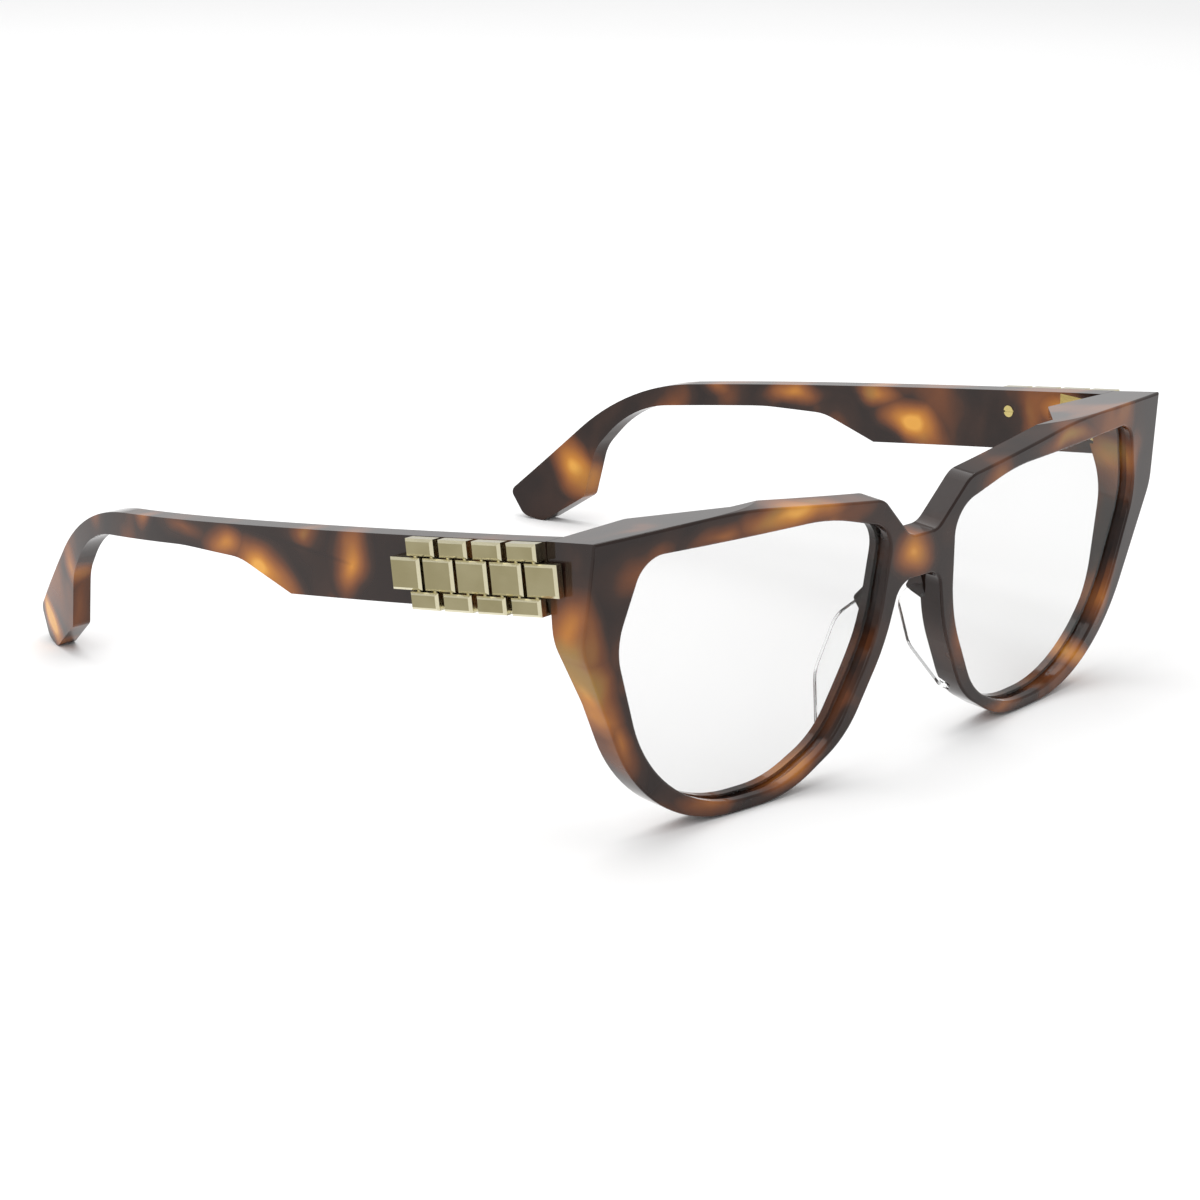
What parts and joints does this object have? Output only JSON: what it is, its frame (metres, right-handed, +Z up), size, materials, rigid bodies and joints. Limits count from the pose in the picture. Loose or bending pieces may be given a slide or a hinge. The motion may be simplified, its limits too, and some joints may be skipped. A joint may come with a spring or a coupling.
{
  "type": "eyeglasses frame",
  "caption": "Tortoiseshell acetate eyeglasses frame: bowed front with clear demo lenses and nose pads, and folding temples with metal bracelet plaques.",
  "frame": {"origin": "centre of the bounding box at its base: the glasses stand open on a table, on the bottoms of the rims and the tips of the temples", "axes": "+Z up from the table, X across the face (the wearer's left is +X), the front faces -Y and the temples run back towards +Y"},
  "size_m": [0.1482, 0.1488, 0.0487],
  "materials": {
    "acetate_front": "polished tortoiseshell acetate",
    "acetate_temple": "polished tortoiseshell acetate",
    "clear_acetate": "clear polished acetate",
    "demo_lens": "clear demonstration lens",
    "plaque_metal": "polished pale gold plating",
    "hinge_metal": "polished pale gold plating",
    "screw_metal": "polished",
    "core_wire_metal": "satin"
  },
  "bodies": {
    "front": {"front": "acetate_front", "lens_left": "demo_lens", "nose_pad_left": "clear_acetate", "front_hinge_leaf_left": "hinge_metal", "hinge_screw_left": "screw_metal", "lens_right": "demo_lens", "nose_pad_right": "clear_acetate", "front_hinge_leaf_right": "hinge_metal", "hinge_screw_right": "screw_metal"},
    "temple_left": {"centre_link_1_left": "plaque_metal", "centre_link_2_left": "plaque_metal", "centre_link_3_left": "plaque_metal", "centre_link_4_left": "plaque_metal", "centre_link_5_left": "plaque_metal", "core_wire_left": "core_wire_metal", "link_pins_left": "plaque_metal", "lower_link_1_left": "plaque_metal", "lower_link_2_left": "plaque_metal", "lower_link_3_left": "plaque_metal", "lower_link_4_left": "plaque_metal", "plaque_screws_left": "screw_metal", "temple_hinge_leaf_left": "hinge_metal", "temple_left": "acetate_temple", "upper_link_1_left": "plaque_metal", "upper_link_2_left": "plaque_metal", "upper_link_3_left": "plaque_metal", "upper_link_4_left": "plaque_metal"},
    "temple_right": {"centre_link_1_right": "plaque_metal", "centre_link_2_right": "plaque_metal", "centre_link_3_right": "plaque_metal", "centre_link_4_right": "plaque_metal", "centre_link_5_right": "plaque_metal", "core_wire_right": "core_wire_metal", "link_pins_right": "plaque_metal", "lower_link_1_right": "plaque_metal", "lower_link_2_right": "plaque_metal", "lower_link_3_right": "plaque_metal", "lower_link_4_right": "plaque_metal", "plaque_screws_right": "screw_metal", "temple_hinge_leaf_right": "hinge_metal", "temple_right": "acetate_temple", "upper_link_1_right": "plaque_metal", "upper_link_2_right": "plaque_metal", "upper_link_3_right": "plaque_metal", "upper_link_4_right": "plaque_metal"}
  },
  "joints": [
    {"name": "temple_left_fold", "type": "hinge", "parent": "front", "child": "temple_left", "pos_m": [0.06445, -0.06055, 0.04221], "axis": [0, 0, 1], "range_deg": [0, 88]},
    {"name": "temple_right_fold", "type": "hinge", "parent": "front", "child": "temple_right", "pos_m": [-0.06445, -0.06055, 0.04221], "axis": [0, 0, -1], "range_deg": [0, 77]}
  ]
}
